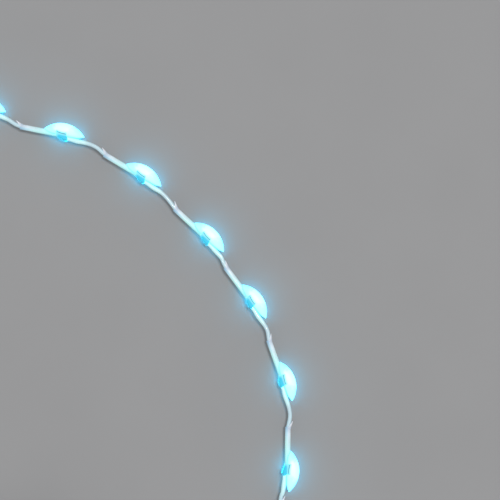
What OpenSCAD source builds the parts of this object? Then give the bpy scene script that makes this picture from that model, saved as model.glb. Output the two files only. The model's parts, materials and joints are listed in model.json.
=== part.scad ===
// Spoke wheel light: a string of lit half-moon pods that clip to the spokes of a bicycle wheel,
// with the battery pack that feeds it. It lies flat, the wheel axle is the Z axis and all sizes are in mm.

/* [Ring] */
// Radius of the ring of pods about the wheel axle
ring_r = 257; // [252:1:262]
// How far the feed end of the ring is drawn in towards the hub
draw_in = 37; // [30:1:38]

/* [Pod] */
// Length of the half-moon lens along the string
pod_len = 22.1; // [21.5:0.1:22.5]
// How far the lens bulges out towards the rim
pod_rise = 5.4; // [5.2:0.1:5.8]
// How far the lens stands in front of its own long axis
pod_front = 4; // [3.6:0.1:4.4]
// Diameter of the wheel spoke that the clip takes
spoke_d = 2; // [1.8:0.1:2]
// Diameter of the string wire
wire_d = 2; // [1.8:0.1:2]
// Outer diameter of the clear sleeve on the wire
sleeve_d = 2.8; // [2.7:0.1:2.9]

/* [Pack] */
// Length of the battery pack, from its hub end to its lead end
case_l = 73; // [73:0.5:75]
// Width of the battery pack over its side walls
case_w = 52; // [52:0.5:54]
// Thickness of the door and of the switch cover
lid_t = 2.3; // [2.1:0.1:2.6]
// Diameter of the mode button
button_d = 8; // [7:0.5:8]
// How far the mode button goes down
button_travel = 0.8; // [0.5:0.1:0.9]
// Width of the strap slots
slot_w = 6.2; // [5.8:0.1:6.4]

/* [Hidden] */
$fn = 48;
// Pods, one to each spoke of the wheel
pod_count = 36;
pitch = 360 / pod_count;
// Where the feed lead reaches the ring, and how widely the ring is drawn in there, in degrees
feed_angle = -45;
draw_span = 24.5;
// Pods are clipped on by hand: how far each of six sits along the string and out of the ring, and its turn
slip = [0.7, 2, -2, -1.6, 1.3, -0.7];
drift = [0.8, -1.2, -1.2, 0, -1.5, -0.6];
twist = [-1, -2, 1, 0, -4.5, 8.5];

// Heights in a pod: spoke, back plate, wire and lens axis
spoke_z = 1.6;
plate_z = 3;
plate_top = 3.8;
wire_z = 5.4;
lens_z = 6;
hook_top = 7;
// Hook: middle, half width, round inner end and outer face
hook_x = -1;
hook_w = 2.6;
hook_y = -0.8;
hook_out = 0.75;
hook_right = hook_x + hook_w;
hook_left = hook_x - hook_w;
spoke_fit = 0.03;
mouth_w = 0.85 * spoke_d;
// Wire: where it enters and leaves the hook, and its clearance in its holes
in_y = -0.65;
in_end = -1.6;
out_y = -2;
out_start = -0.3;
wire_fit = 0.1;
sleeve_gap = 0.05;
// Sleeve: square cut, quill tip and the slant between them
sleeve_cut = -22.6;
quill_tip = -24.4;
quill_side = 0.3;
// Lens outline: arc, blunt tips, front crown and its edge beside the sleeve and over the wire
arc_r = (pow(pod_len / 2, 2) + pow(pod_rise, 2)) / (2 * pod_rise);
tip_x = pod_len / 2 - 0.2;
crown_r = 30;
lens_foot = in_y + sleeve_d / 2 + 0.1;
wing_start = hook_right + 0.1;
wing_foot = -0.85;
wing_bend = 8.5;
wing_tip = -0.2;
// Lip of the lens, which reaches over the sleeve in front and is notched for the hook
lip_z = hook_top + 0.05;
lip_root = [hook_left - 0.1, -0.85];
lip_bend = [-7, -0.5];
lip_tip = 0.45;
notch_y = 0.35;
// Board, LED and resistor in the pocket of the lens
pocket = [10, 2.2, 2.6];
pocket_y = 2.4;
board = [9.4, 2, 0.6];
led = [2.8, 1.7, 0.6];
led_x = 1.5;
resistor = [1.6, 0.8, 0.45];
resistor_x = -2.8;
// Lie of a wire between two pods, in the axes of the pod that it leaves and of the one that it enters
leave_points = [[hook_right + 0.3, out_y], [7.5, -2.4]];
leave_end = [11.5, -2.4];
enter_start = [-27.2, 0.15];
enter_point = [quill_tip - 0.3, in_y];
short_gap = 5;

// Battery pack: heights, walls and the ends of its two bays along its length
pack_reach = 141.5;
body_h = 16.7;
case_h = body_h + lid_t;
wall = 1.8;
corner = 3.5;
half_l = case_l / 2;
half_w = case_w / 2;
inner_w = case_w - 2 * wall;
bay_start = wall - half_l;
bay_l = 55.7;
bay_end = bay_start + bay_l;
divider = 2.4;
room_start = bay_end + divider;
room_end = half_l - wall;
room_mid = (room_start + room_end) / 2;
lid_gap = 0.3;
cover_start = room_start - 0.6;
door_end = cover_start - lid_gap;
door_z = body_h + 0.05;
// Cells: three in a row, the middle one turned round
cell_d = 14.5;
can_l = 49.5;
nub_r = 2.7;
nub_l = 1;
cell_pitch = 14.9;
trough_r = cell_d / 2 + 0.1;
cell_z = wall + trough_r;
trough_top = 6;
// Contacts: plates, coil springs and the strip to the control board
plate_t = 0.4;
plate_gap = 0.05;
plate_half = 6;
plate_low = 3.5;
plate_h = 11.5;
strip_z = 12.5;
strip_h = 3;
tab_v = 13.6;
tab_w = 2.4;
spring_l = 4.3;
spring_r = 4;
spring_wire = 0.7;
spring_turns = 3;
spring_rings = 8;
// Hinge of the door at the hub end of the pack
hinge_u = -half_l - 2.4;
hinge_z = body_h + 1.1;
knuckle_r = 2.2;
pin_r = 1;
pin_fit = 0.04;
hinge_half = 15;
knuckle_half = 6;
// Grip ribs on the door, beside the finger scoop
rib_u = 5;
rib_pitch = 3.4;
rib = [1.6, 12, 0.5];
// Gasket in the underside of the door
gasket_inset = 0.5;
gasket_w = 0.9;
gasket_t = 0.75;
// Strap lugs at both sides
lug_u = -7;
lug_l = 28;
lug_out = 10;
lug_t = 4;
slot_l = 18;
slot_v = half_w + lug_out / 2 - 0.3;
// Switch cover: button, turn latch, screws and finger scoop
button_v = 6;
button_r = button_d / 2;
button_top = case_h + 1.2;
flange_z = 15;
flange_t = 1.5;
latch_v = -11;
latch_u = room_mid - 1;
latch_z = case_h + 0.15;
latch_t = 1.6;
latch_reach = 7.5;
latch_w = 2.1;
pivot_r = 1.25;
pivot_foot = 13.2;
screw_u = room_end - 2.9;
screw_v = half_w - 4.6;
screw_r = 1;
head_r = 2;
head_t = 1.3;
scoop_v = 17;
scoop_r = 7.5;
scoop_up = 6;
// Control board under the switch cover
pcb = [9.6, 32, 1.2];
pcb_z = 8.6;
pcb_top = pcb_z + pcb.z;
pcb_screw_v = 13.2;
switch_size = [6, 6, 3.4];
chip = [4, 5, 1.4];
chip_v = -5;
plunger_r = 1.7;
plunger_z = 12.5;
// Lead grommet in the end wall
lead_z = 5.2;
grommet_r = 2.6;
grommet_l = 9.5;
// Lead from the sleeve mouth to the pack: where it leaves the first sleeve, then along the hub line,
// across it and height
lead_mouth = -25;
lead_route = [
    [-5.9, 9, 5.2], [-8.4, 13.1, 4.3], [-13.4, 16.8, 3], [-20.4, 18.4, 1.8], [-29, 17.2, 1.1],
    [-41, 12, 1.02], [-54, 4.5, 1.02], [-66, -1.5, 1.2], [-77, -2.5, 2.6], [-87, -0.5, 4.4],
    [-94, 0, 5.2], [-109.5, 0, 5.2]
];

function lens_name(k) = str("lens_", k < 9 ? "0" : "", k + 1);
function along(a) = [cos(a), sin(a)];
function unit(v) = v / norm(v);

// Place and turn of each pod on the ring
function pod_angle(k) = feed_angle - pitch / 2 - k * pitch;
function from_feed(k) = (pod_angle(k) - feed_angle + 540) % 360 - 180;
function pod_radius(k) = ring_r - draw_in * exp(-pow(from_feed(k) / draw_span, 2));
function spot(k) = pod_radius(k) * along(pod_angle(k));
function step_angle(k) = let (step = spot(k) - spot(k - 1)) atan2(step.y, step.x);
function run_angle(k) = k == 0 ? step_angle(1) + pitch : step_angle(k);
function pod_turn(k) = run_angle(k) + twist[k % 6];
function pod_spot(k) = spot(k) + slip[k % 6] * along(run_angle(k)) + drift[k % 6] * along(run_angle(k) + 90);
function in_pod(k, x, y) = pod_spot(k) + x * along(pod_turn(k)) + y * along(pod_turn(k) + 90);

module at_pod(k) {
    translate([pod_spot(k).x, pod_spot(k).y, 0]) rotate([0, 0, pod_turn(k)]) children();
}

module at_pods() {
    for (k = [0:pod_count - 1]) at_pod(k) children();
}

// Place of the pack, inside the ring on the line from the hub to the feed end
feed_line = pod_radius(0) * cos(pitch / 2) + in_y;
function at_feed(p) =
    let (plan = (feed_line + p.x) * along(feed_angle) + p.y * along(feed_angle + 90)) [plan.x, plan.y, p.z];

module at_pack() {
    rotate([0, 0, feed_angle]) translate([feed_line - pack_reach, 0, 0]) children();
}

// Round tube along a route
function heading(route, i) = unit(route[min(i + 1, len(route) - 1)] - route[max(i - 1, 0)]);
function ring_point(route, i, radius, up, a) =
    let (t = heading(route, i), n = unit(cross(up, t)))
    route[i] + radius * (cos(a) * n + sin(a) * cross(t, n));

module tube(route, radius, sides, up) {
    last = len(route) - 1;
    points = [for (i = [0:last], j = [0:sides - 1]) ring_point(route, i, radius, up, 360 * j / sides)];
    walls = [
        for (i = [0:last - 1], j = [0:sides - 1], half = [0, 1])
        let (a = i * sides + j, b = i * sides + (j + 1) % sides)
        half == 0 ? [a, a + sides, b + sides] : [a, b + sides, b]
    ];
    first_end = [for (j = [0:sides - 1]) j];
    last_end = [for (j = [0:sides - 1]) last * sides + sides - 1 - j];
    polyhedron(points, concat(walls, [first_end, last_end]));
}

// Half-moon lens, clear, with a pocket at the back
module lemon() {
    rotate([0, 90, 0]) rotate_extrude() intersection() {
        translate([pod_rise - arc_r, 0]) circle(r = arc_r, $fn = 96);
        translate([0, -tip_x]) square([pod_rise + 1, 2 * tip_x]);
    }
}

module lens_plan() {
    polygon([
        [-pod_len, lens_foot], [wing_start, lens_foot], [wing_start, wing_foot], [wing_bend, wing_foot],
        [pod_len / 2, wing_tip], [pod_len, wing_tip], [pod_len, 2 * pod_rise], [-pod_len, 2 * pod_rise]
    ]);
}

module lip_plan() {
    polygon([
        [-pod_len, lip_tip], [-pod_len / 2, lip_tip], lip_bend, lip_root, [lip_root.x, notch_y],
        [wing_start, notch_y], [wing_start, pod_rise], [-pod_len, pod_rise]
    ]);
}

module lens() {
    color("PaleTurquoise") difference() {
        intersection() {
            translate([0, 0, lens_z]) lemon();
            union() {
                translate([0, 0, plate_top]) linear_extrude(2 * pod_front) lens_plan();
                translate([0, 0, lip_z]) linear_extrude(pod_front) lip_plan();
            }
            translate([0, 0, lens_z + pod_front - crown_r]) sphere(r = crown_r, $fn = 96);
        }
        translate([-pocket.x / 2, pocket_y - pocket.y / 2, plate_top - 1]) cube(pocket + [0, 0, 1]);
    }
}

// Pod base: back plate, cradle for the sleeve and hook that snaps over the spoke
module string_hole(start, end, y, radius) {
    translate([start, y, wire_z]) rotate([0, 90, 0]) cylinder(r = radius, h = end - start);
}

module plate_plan() {
    inset = 0.4;
    plate_end = pod_len / 2 - 0.6;
    plate_hub = in_y - 1.3;
    intersection() {
        translate([0, pod_rise - arc_r]) circle(r = arc_r - inset, $fn = 96);
        polygon([
            [-plate_end, plate_hub], [hook_right, plate_hub], [hook_right, wing_foot + 0.2],
            [wing_bend, wing_foot + 0.2], [plate_end, wing_tip], [plate_end, 2 * pod_rise],
            [-plate_end, 2 * pod_rise]
        ]);
    }
}

module hook_plan() {
    intersection() {
        union() {
            translate([hook_x, hook_y]) circle(r = hook_w);
            translate([hook_left, hook_y]) square(2 * hook_w);
        }
        translate([hook_left, hook_out - pod_len]) square([2 * hook_w, pod_len]);
    }
}

module cradle() {
    cradle_l = 6.5;
    cradle_w = 2.2;
    translate([hook_left - cradle_l, in_y - cradle_w / 2, plate_z]) cube([cradle_l + 0.5, cradle_w, 1.3]);
}

module spoke_space() {
    reach = 6;
    lip = 0.6;
    translate([hook_x, -reach, spoke_z]) rotate([-90, 0, 0])
        cylinder(r = spoke_d / 2 + spoke_fit, h = 2 * reach);
    translate([hook_x, reach, 0]) rotate([90, 0, 0]) linear_extrude(2 * reach) polygon([
        [-spoke_d, -1], [spoke_d, -1], [mouth_w / 2, lip], [mouth_w / 2, spoke_z],
        [-mouth_w / 2, spoke_z], [-mouth_w / 2, lip]
    ]);
}

module pod_base(k) {
    bore = wire_d / 2 + wire_fit;
    difference() {
        union() {
            translate([0, 0, plate_z]) linear_extrude(plate_top - plate_z) plate_plan();
            linear_extrude(hook_top) hook_plan();
            cradle();
        }
        spoke_space();
        string_hole(quill_tip, hook_left, in_y, sleeve_d / 2);
        string_hole(hook_left - 1, in_end, in_y, bore);
        if (k < pod_count - 1) string_hole(out_start, hook_right + 1, out_y, bore);
    }
}

module pod_bases() {
    color("LightCyan") for (k = [0:pod_count - 1]) at_pod(k) pod_base(k);
}

// Board, LED and resistor of a pod
module on_plate(size, x, z) {
    translate([x - size.x / 2, pocket_y - size.y / 2, z]) cube(size);
}

module pod_boards() {
    color("SeaGreen") at_pods() on_plate(board, 0, plate_top);
}

module pod_leds() {
    dome_r = 0.75;
    color("White") at_pods() {
        on_plate(led, led_x, plate_top + board.z);
        translate([led_x, pocket_y, plate_top + board.z + led.z]) intersection() {
            sphere(r = dome_r, $fn = 32);
            translate([-1, -1, -led.z / 2]) cube([2, 2, 2]);
        }
    }
}

module pod_resistors() {
    color("DimGray") at_pods() on_plate(resistor, resistor_x, plate_top + board.z);
}

// Clear sleeve with a quill-cut free end
module sleeve() {
    radius = sleeve_d / 2;
    difference() {
        string_hole(quill_tip, hook_left - sleeve_gap, in_y, radius);
        string_hole(quill_tip - 1, hook_left, in_y, wire_d / 2 + wire_fit);
        translate([0, in_y, 0]) linear_extrude(2 * wire_z) polygon([
            [quill_tip - 1, -2 * radius], [sleeve_cut, -2 * radius], [sleeve_cut, quill_side],
            [quill_tip, radius - 0.1], [quill_tip - 1, radius]
        ]);
    }
}

module sleeves() {
    color("Azure") at_pods() sleeve();
}

// Wire from the hook of one pod, through the sleeve of the next and into its hook
function span_middle(k) =
    let (
        from = in_pod(k, leave_end.x, leave_end.y),
        to = in_pod(k + 1, enter_start.x, enter_start.y)
    )
    norm(to - from) > short_gap ? [from, to] : [(from + to) / 2];
function span_plan(k) = concat(
    [in_pod(k, out_start + 0.1, out_y)],
    [for (p = leave_points) in_pod(k, p.x, p.y)],
    span_middle(k),
    [in_pod(k + 1, enter_point.x, enter_point.y)],
    [in_pod(k + 1, in_end - 0.1, in_y)]
);

module wire_spans() {
    color("AliceBlue") for (k = [0:pod_count - 2])
        tube([for (p = span_plan(k)) [p.x, p.y, wire_z]], wire_d / 2, 8, [0, 0, 1]);
}

// Lead from the pack to the sleeve of the first pod
module feed_lead() {
    in_sleeve = [for (x = [in_end - 0.1, lead_mouth]) let (p = in_pod(0, x, in_y)) [p.x, p.y, wire_z]];
    outside = [for (p = lead_route) at_feed(p)];
    color("AliceBlue") tube(concat(in_sleeve, outside), wire_d / 2, 8, [0, 0, 1]);
}

// Outlines of the pack
module rounded(size, radius) {
    translate([-size.x / 2 + radius, -size.y / 2]) square([size.x - 2 * radius, size.y]);
    translate([-size.x / 2, -size.y / 2 + radius]) square([size.x, size.y - 2 * radius]);
    for (side = [-1, 1], end = [-1, 1])
        translate([end * (size.x / 2 - radius), side * (size.y / 2 - radius)]) circle(r = radius);
}

module pack_plan(inset, start, end) {
    intersection() {
        rounded([case_l - 2 * inset, case_w - 2 * inset], corner - inset);
        translate([start, -case_w]) square([end - start, 2 * case_w]);
    }
}

module screw_posts(z, height, radius) {
    for (side = [-1, 1]) translate([screw_u, side * screw_v, z]) cylinder(r = radius, h = height);
}

module board_posts(z, height, radius) {
    for (side = [-1, 1]) translate([room_mid, side * pcb_screw_v, z]) cylinder(r = radius, h = height);
}

module across(start, end) {
    translate([0, end, 0]) rotate([90, 0, 0]) linear_extrude(end - start) children();
}

module hinge_bore() {
    across(-case_w, case_w) translate([hinge_u, hinge_z]) circle(r = pin_r + pin_fit);
}

// Case body: cell troughs, electronics room, hinge knuckles, strap lugs and screw posts
module body_knuckle() {
    translate([hinge_u, hinge_z]) circle(r = knuckle_r);
    web = 1.6;
    polygon([
        [hinge_u - web, body_h], [0.5 - half_l, body_h],
        [0.5 - half_l, body_h - 8], [hinge_u - web, body_h - 2.6]
    ]);
}

module case_shell() {
    linear_extrude(body_h) rounded([case_l, case_w], corner);
    translate([lug_u, 0, 0]) linear_extrude(lug_t) difference() {
        rounded([lug_l, 2 * (half_w + lug_out)], 4);
        for (side = [-1, 1]) translate([0, side * slot_v]) rounded([slot_l, slot_w], 1.5);
    }
    across(knuckle_half + lid_gap, hinge_half) body_knuckle();
    across(-hinge_half, -knuckle_half - lid_gap) body_knuckle();
}

module cell_bay() {
    translate([bay_start, -inner_w / 2, trough_top]) cube([bay_l, inner_w, body_h]);
    for (i = [-1:1])
        translate([bay_start, i * cell_pitch, cell_z]) rotate([0, 90, 0]) cylinder(r = trough_r, h = bay_l);
    for (start = [bay_start, bay_end - plate_t - plate_gap])
        translate([start, -inner_w / 2, plate_low - plate_gap]) cube([plate_t + plate_gap, inner_w, body_h]);
}

module electronics_room() {
    difference() {
        translate([room_start, -inner_w / 2, wall]) cube([room_end - room_start, inner_w, body_h]);
        screw_posts(0, body_h, 2.6);
        board_posts(0, pcb_z, 2.4);
    }
}

module contact_slots() {
    gap = 0.1;
    translate([bay_end - 1, -inner_w / 2, strip_z - gap]) cube([divider + 2, 0.6, strip_h + 2 * gap]);
    translate([bay_end - 1, tab_v - gap, pcb_top - gap]) cube([divider + 2, tab_w + 2 * gap, 0.8]);
}

module case_body() {
    color("DimGray") difference() {
        case_shell();
        cell_bay();
        electronics_room();
        contact_slots();
        hinge_bore();
        screw_posts(body_h - 7, 10, screw_r);
        board_posts(pcb_z - 5, 6, screw_r);
        translate([room_end - 1, 0, lead_z]) rotate([0, 90, 0]) cylinder(r = grommet_r + 0.05, h = 5);
    }
}

// Hinged battery door, its gasket and its pin
module gasket_plan() {
    difference() {
        pack_plan(gasket_inset, -half_l, door_end - gasket_inset);
        pack_plan(gasket_inset + gasket_w, -half_l, door_end - gasket_inset - gasket_w);
    }
}

module battery_door() {
    color("SlateGray") difference() {
        union() {
            translate([0, 0, door_z]) linear_extrude(lid_t) pack_plan(0, lid_gap - half_l, door_end);
            for (i = [0:3]) translate([rib_u + i * rib_pitch, scoop_v, door_z + 1])
                linear_extrude(lid_t - 1 + rib.z) rounded([rib.x, rib.y], 0.7);
            across(-knuckle_half, knuckle_half) {
                translate([hinge_u, hinge_z]) circle(r = knuckle_r);
                translate([hinge_u, hinge_z - 0.8]) square([2 * knuckle_r, 1.8]);
            }
        }
        translate([0, 0, door_z - 1]) linear_extrude(1 + gasket_t) gasket_plan();
        hinge_bore();
    }
}

module door_gasket() {
    color("Black") translate([0, 0, body_h + 0.02]) linear_extrude(gasket_t) gasket_plan();
}

module hinge_pin() {
    color("Silver") across(-hinge_half, hinge_half) translate([hinge_u, hinge_z]) circle(r = pin_r);
}

// Switch cover with the turn latch that holds the door
module switch_cover() {
    color("DimGray") difference() {
        union() {
            translate([0, 0, body_h]) linear_extrude(lid_t) pack_plan(0, cover_start, half_l);
            translate([latch_u, latch_v, pivot_foot]) cylinder(r = 2.8, h = body_h - pivot_foot + 1);
        }
        translate([room_mid, button_v, 0]) cylinder(r = button_r + 0.2, h = 2 * case_h);
        translate([latch_u, latch_v, pivot_foot + 0.5]) cylinder(r = pivot_r, h = case_h);
        screw_posts(0, 2 * case_h, screw_r + 0.1);
        translate([cover_start, scoop_v, case_h + scoop_up]) sphere(r = scoop_r);
    }
}

module turn_latch() {
    color("Gainsboro") translate([latch_u, latch_v, latch_z]) linear_extrude(latch_t) difference() {
        union() {
            circle(r = 3.4);
            translate([-latch_w, -latch_reach]) square([2 * latch_w, latch_reach]);
            translate([0, -latch_reach]) circle(r = latch_w);
        }
        circle(r = pivot_r + 0.05);
    }
}

module screw(length, radius) {
    difference() {
        union() {
            cylinder(r = head_r, h = head_t);
            translate([0, 0, -length]) cylinder(r = radius, h = length + 0.5);
        }
        for (turn = [0, 90]) rotate([0, 0, turn]) translate([-1.3, -0.25, head_t - 0.6]) cube([2.6, 0.5, 1]);
    }
}

module pack_screws() {
    color("Silver") {
        for (side = [-1, 1]) {
            translate([screw_u, side * screw_v, case_h]) screw(8, screw_r);
            translate([room_mid, side * pcb_screw_v, pcb_top]) screw(5, screw_r);
        }
        translate([latch_u, latch_v, latch_z + latch_t + 0.1]) screw(6.5, pivot_r);
    }
}

// Mode button and the plunger that it pushes
module mode_button() {
    dish_r = 12;
    color("DeepSkyBlue") translate([room_mid, button_v, 0]) difference() {
        union() {
            translate([0, 0, flange_z]) cylinder(r = button_r + 1.2, h = flange_t);
            translate([0, 0, flange_z]) cylinder(r = button_r, h = button_top - flange_z);
        }
        translate([0, 0, button_top + dish_r - 0.5]) sphere(r = dish_r);
    }
}

module switch_plunger() {
    plunger_l = flange_z - plunger_z;
    color("Black") translate([room_mid, button_v, plunger_z]) cylinder(r = plunger_r, h = plunger_l);
}

// Control board with its switch and controller
module on_board(size, v) {
    translate([room_mid - size.x / 2, v - size.y / 2, pcb_top]) cube(size);
}

module tact_switch() {
    well_z = plunger_z - button_travel - 0.3;
    color("Gray") difference() {
        on_board(switch_size, button_v);
        translate([room_mid, button_v, well_z]) cylinder(r = plunger_r + 0.15, h = 5);
    }
}

module control_board() {
    color("SeaGreen") difference() {
        translate([0, 0, -pcb.z]) on_board(pcb, 0);
        board_posts(0, case_h, screw_r + 0.1);
    }
}

module controller_chip() {
    color("Black") on_board(chip, chip_v);
}

// Cells, coil springs and contact plates
module at_cell(i) {
    translate([bay_start, i * cell_pitch, cell_z]) children();
}

module turned(i) {
    translate([i == 0 ? bay_l : 0, 0, 0]) rotate([0, 0, i == 0 ? 180 : 0]) children();
}

module batteries() {
    color("SteelBlue") for (i = [-1:1])
        at_cell(i) turned(i) translate([plate_t + spring_l, 0, 0]) rotate([0, 90, 0]) {
            cylinder(r = cell_d / 2, h = can_l);
            cylinder(r = nub_r, h = can_l + nub_l);
        }
}

spring_start = plate_t + spring_wire / 2 + 0.06;
spring_rise = spring_l - spring_wire - 0.12;
function coil_point(i) =
    let (a = 360 * i / spring_rings)
    [spring_start + spring_rise * i / (spring_rings * spring_turns), spring_r * cos(a), spring_r * sin(a)];
coil = [for (i = [0:spring_rings * spring_turns]) coil_point(i)];
coil_end = len(coil) - 1;
spring_route = concat(
    [coil[0] - [0, 0, spring_wire]], coil, [coil[coil_end] + [0, 0, spring_wire]]
);
coil_gaps = [for (i = [0:coil_end], j = [0:coil_end]) if (j > i + spring_rings / 2) norm(coil[j] - coil[i])];
echo(least_gap_between_spring_turns = min(coil_gaps) - spring_wire);

module battery_springs() {
    color("Silver") for (i = [-1:1]) at_cell(i) turned(i) tube(spring_route, spring_wire / 2, 6, [1, 0, 0]);
}

module contact_plate(start, first, last) {
    from = first * cell_pitch - plate_half;
    translate([start, from, plate_low]) cube([plate_t, last * cell_pitch + plate_half - from, plate_h]);
}

module contact_plates() {
    near = bay_start;
    far = bay_end - plate_t;
    side = -inner_w / 2 + plate_gap;
    strip_end = room_start + 1.3;
    foot_w = inner_w / 2 - pcb_screw_v;
    color("Gold") {
        contact_plate(near, -1, -1);
        translate([near, side, strip_z]) cube([plate_t, cell_pitch - plate_half, strip_h]);
        translate([near, side, strip_z]) cube([strip_end - near, plate_t, strip_h]);
        translate([strip_end - plate_t, side, pcb_top]) cube([plate_t, foot_w, strip_z - pcb_top + strip_h]);
        contact_plate(near, 0, 1);
        contact_plate(far, -1, 0);
        contact_plate(far, 1, 1);
        translate([far, tab_v, pcb_top]) cube([room_start + 2.5 - far, tab_w, plate_t]);
    }
}

// Rubber grommet that seals the lead in the end wall
module lead_grommet() {
    color("Black") translate([half_l, 0, lead_z]) rotate([0, 90, 0]) rotate_extrude() difference() {
        polygon([
            [0, -wall - 1.2], [3.2, -wall - 1.2], [3.2, -wall - 0.05], [grommet_r, -wall - 0.05],
            [grommet_r, 0.05], [3.9, 0.05], [3.9, 1.5], [3.2, 1.5], [1.7, grommet_l], [0, grommet_l]
        ]);
        translate([0, -wall - 2]) square([wire_d / 2 + wire_fit, grommet_l + 10]);
    }
}

at_pack() case_body();
at_pack() battery_door();
at_pack() door_gasket();
at_pack() hinge_pin();
at_pack() turn_latch();
at_pack() switch_cover();
at_pack() pack_screws();
at_pack() mode_button();
at_pack() switch_plunger();
at_pack() tact_switch();
at_pack() control_board();
at_pack() controller_chip();
at_pack() batteries();
at_pack() battery_springs();
at_pack() contact_plates();
at_pack() lead_grommet();
feed_lead();
pod_bases();
pod_boards();
pod_leds();
pod_resistors();
sleeves();
wire_spans();
for (k = [0:pod_count - 1]) at_pod(k) lens();
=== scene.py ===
import json
import math

import bmesh
import bpy
from mathutils import Matrix, Vector


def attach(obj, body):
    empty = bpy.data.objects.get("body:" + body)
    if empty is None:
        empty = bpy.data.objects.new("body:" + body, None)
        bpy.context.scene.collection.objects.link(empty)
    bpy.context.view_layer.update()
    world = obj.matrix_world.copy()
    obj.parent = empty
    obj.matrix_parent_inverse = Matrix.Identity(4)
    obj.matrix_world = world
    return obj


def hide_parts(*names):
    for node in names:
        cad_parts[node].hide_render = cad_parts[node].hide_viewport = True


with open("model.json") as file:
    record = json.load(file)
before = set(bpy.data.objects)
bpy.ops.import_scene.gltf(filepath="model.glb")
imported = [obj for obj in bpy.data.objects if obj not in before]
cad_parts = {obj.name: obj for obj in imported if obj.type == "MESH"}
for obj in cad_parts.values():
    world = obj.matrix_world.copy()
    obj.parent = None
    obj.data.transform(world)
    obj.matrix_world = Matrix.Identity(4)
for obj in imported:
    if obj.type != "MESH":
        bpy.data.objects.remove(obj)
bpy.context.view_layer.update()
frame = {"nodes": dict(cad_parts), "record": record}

# Lengths in this script are millimetres unless a name or a comment says otherwise.
MM = 0.001
UP = Vector((0, 0, 1))
scene = bpy.context.scene
mounts = {mount["name"]: mount for mount in frame["record"]["mounts"]}


# Camera: straight down on the stretch of the ring that the photograph shows, in metres
LOOK_AT = Vector((0.2654, -0.0219, 0.006))
CAMERA_TURN = math.radians(-45.4)
CAMERA_DISTANCE = 1.071
CAMERA_LENS = 150


def make_camera():
    data = bpy.data.cameras.new("camera")
    data.lens = CAMERA_LENS
    camera = bpy.data.objects.new("camera", data)
    camera.location = LOOK_AT + CAMERA_DISTANCE * UP
    camera.rotation_euler = (0, 0, CAMERA_TURN)
    scene.collection.objects.link(camera)
    scene.camera = camera


make_camera()


# Places of the pods and of the pack, from the record's mounts
HOOK_X = -1.0
HOOK_MID_Y = -1.325
STRAP_U = -7.0


def place(origin, x_axis, y_axis):
    turn = Matrix((x_axis, y_axis, UP)).transposed().to_4x4()
    return Matrix.Translation((origin.x, origin.y, 0)) @ turn @ Matrix.Scale(MM, 4)


def pod_place(mount):
    out = Vector(mount["axis"])
    run = Vector((out.y, -out.x, 0))
    origin = Vector(mount["pos_m"]) - MM * (HOOK_X * run + HOOK_MID_Y * out)
    return place(origin, run, out)


def pack_place():
    left = Vector(mounts["strap_slot_left"]["pos_m"])
    right = Vector(mounts["strap_slot_right"]["pos_m"])
    side = (left - right).normalized()
    outward = Vector((side.y, -side.x, 0))
    return place((left + right) / 2 - MM * STRAP_U * outward, outward, side)


pods = [pod_place(mounts[name]) for name in sorted(mounts) if name.startswith("spoke_clip")]
pack = pack_place()


# Making of pieces
def add_piece(name, mesh, replaced, material):
    piece = bpy.data.objects.new(name, mesh)
    scene.collection.objects.link(piece)
    mesh.materials.append(material)
    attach(piece, "light")
    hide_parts(*replaced)
    return piece


def to_mesh(name, bm, sharp_angle=40):
    bmesh.ops.recalc_face_normals(bm, faces=bm.faces)
    mesh = bpy.data.meshes.new(name)
    bm.to_mesh(mesh)
    bm.free()
    mesh.polygons.foreach_set("use_smooth", [True] * len(mesh.polygons))
    mesh.set_sharp_from_angle(angle=math.radians(sharp_angle))
    return mesh


def smooth_step(low, high, value):
    share = min(1.0, max(0.0, (value - low) / (high - low)))
    return share * share * (3 - 2 * share)


def smooth_route(points, step):
    """Points about one step apart on a smooth curve through the given points."""
    spans = [(b - a).length for a, b in zip(points, points[1:])]
    headings = [(b - a) / span for a, b, span in zip(points, points[1:], spans)]
    tangents = [headings[0]]
    for i in range(1, len(points) - 1):
        mixed = headings[i - 1] * spans[i] + headings[i] * spans[i - 1]
        tangents.append(mixed / (spans[i - 1] + spans[i]))
    tangents.append(headings[-1])
    route = [points[0]]
    for i, span in enumerate(spans):
        count = max(1, round(span / step))
        for j in range(1, count + 1):
            t = j / count
            start = points[i] * (2 * t**3 - 3 * t**2 + 1) + tangents[i] * span * (t**3 - 2 * t**2 + t)
            end = points[i + 1] * (3 * t**2 - 2 * t**3) + tangents[i + 1] * span * (t**3 - t**2)
            route.append(start + end)
    return route


def sweep(bm, route, radii, sides, up=UP):
    """Adds a round tube along a route and returns its rings."""
    rings = []
    for i, point in enumerate(route):
        ahead = (route[min(i + 1, len(route) - 1)] - route[max(i - 1, 0)]).normalized()
        across = up.cross(ahead).normalized()
        over = ahead.cross(across)
        angles = [2 * math.pi * j / sides for j in range(sides)]
        offsets = [radii[i] * (math.cos(a) * across + math.sin(a) * over) for a in angles]
        rings.append([bm.verts.new(point + offset) for offset in offsets])
    bridge(bm, rings)
    bm.faces.new(rings[0])
    bm.faces.new(rings[-1])
    return rings


def bridge(bm, rings):
    for ring, following in zip(rings, rings[1:]):
        for j in range(len(ring)):
            k = (j + 1) % len(ring)
            bm.faces.new((ring[j], ring[k], following[k], following[j]))


# Shader nodes
NOISE_RANGE = (0.3, 0.7)


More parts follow.
